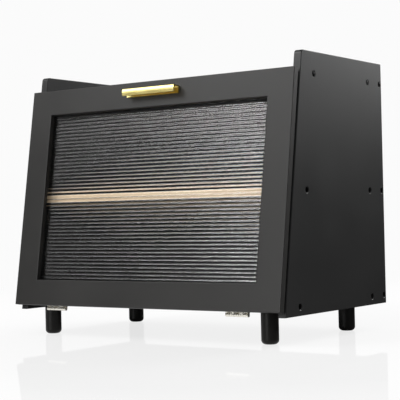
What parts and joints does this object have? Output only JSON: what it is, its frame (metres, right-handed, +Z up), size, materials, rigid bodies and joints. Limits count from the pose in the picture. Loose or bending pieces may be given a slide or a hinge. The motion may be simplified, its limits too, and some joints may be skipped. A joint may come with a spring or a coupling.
{
  "type": "bread box",
  "caption": "Two-storey countertop bread box with a leaning drop-down door, a reeded clear window, an inner shelf, a tray top and round legs.",
  "frame": {"origin": "middle of the footprint on the worktop: halfway across, halfway between the rear face and the foot of the door, at the soles of the legs", "axes": "+X to the right as seen from the front, +Y to the rear, +Z up; the door faces -Y"},
  "size_m": [0.4, 0.2565, 0.335],
  "materials": {
    "case_board": "satin black painted board",
    "door_board": "satin black painted board",
    "shelf_board": "pale natural wood, clear lacquer",
    "panel_screw": "black oxide",
    "leg": "matt black turned wood",
    "stud_steel": "zinc plated",
    "hinge_nickel": "nickel plated",
    "magnet": "nickel plated magnet",
    "reeded_acrylic": "clear reeded acrylic",
    "clip_plastic": "black moulded plastic",
    "handle_gold": "bright gold"
  },
  "bodies": {
    "cabinet": {"left_side_panel": "case_board", "right_side_panel": "case_board", "top_panel": "case_board", "middle_shelf": "shelf_board", "bottom_panel": "case_board", "back_panel": "case_board", "left_panel_screws": "panel_screw", "right_panel_screws": "panel_screw", "front_left_leg": "leg", "front_right_leg": "leg", "rear_left_leg": "leg", "rear_right_leg": "leg", "leg_studs": "stud_steel", "leg_inserts": "stud_steel", "left_hinge_body_leaf": "hinge_nickel", "right_hinge_body_leaf": "hinge_nickel", "left_hinge_pin": "hinge_nickel", "right_hinge_pin": "hinge_nickel", "hinge_body_screws": "hinge_nickel", "cabinet_magnets": "magnet"},
    "door": {"door_frame": "door_board", "window_panel": "reeded_acrylic", "window_clips": "clip_plastic", "window_clip_screws": "stud_steel", "left_hinge_door_leaf": "hinge_nickel", "right_hinge_door_leaf": "hinge_nickel", "hinge_door_screws": "hinge_nickel", "handle": "handle_gold", "handle_screws": "stud_steel", "door_magnets": "magnet"}
  },
  "joints": [
    {"name": "door_hinge", "type": "hinge", "parent": "cabinet", "child": "door", "pos_m": [0, -0.11791, 0.03409], "axis": [1, 0, 0], "range_deg": [0, 100]}
  ]
}
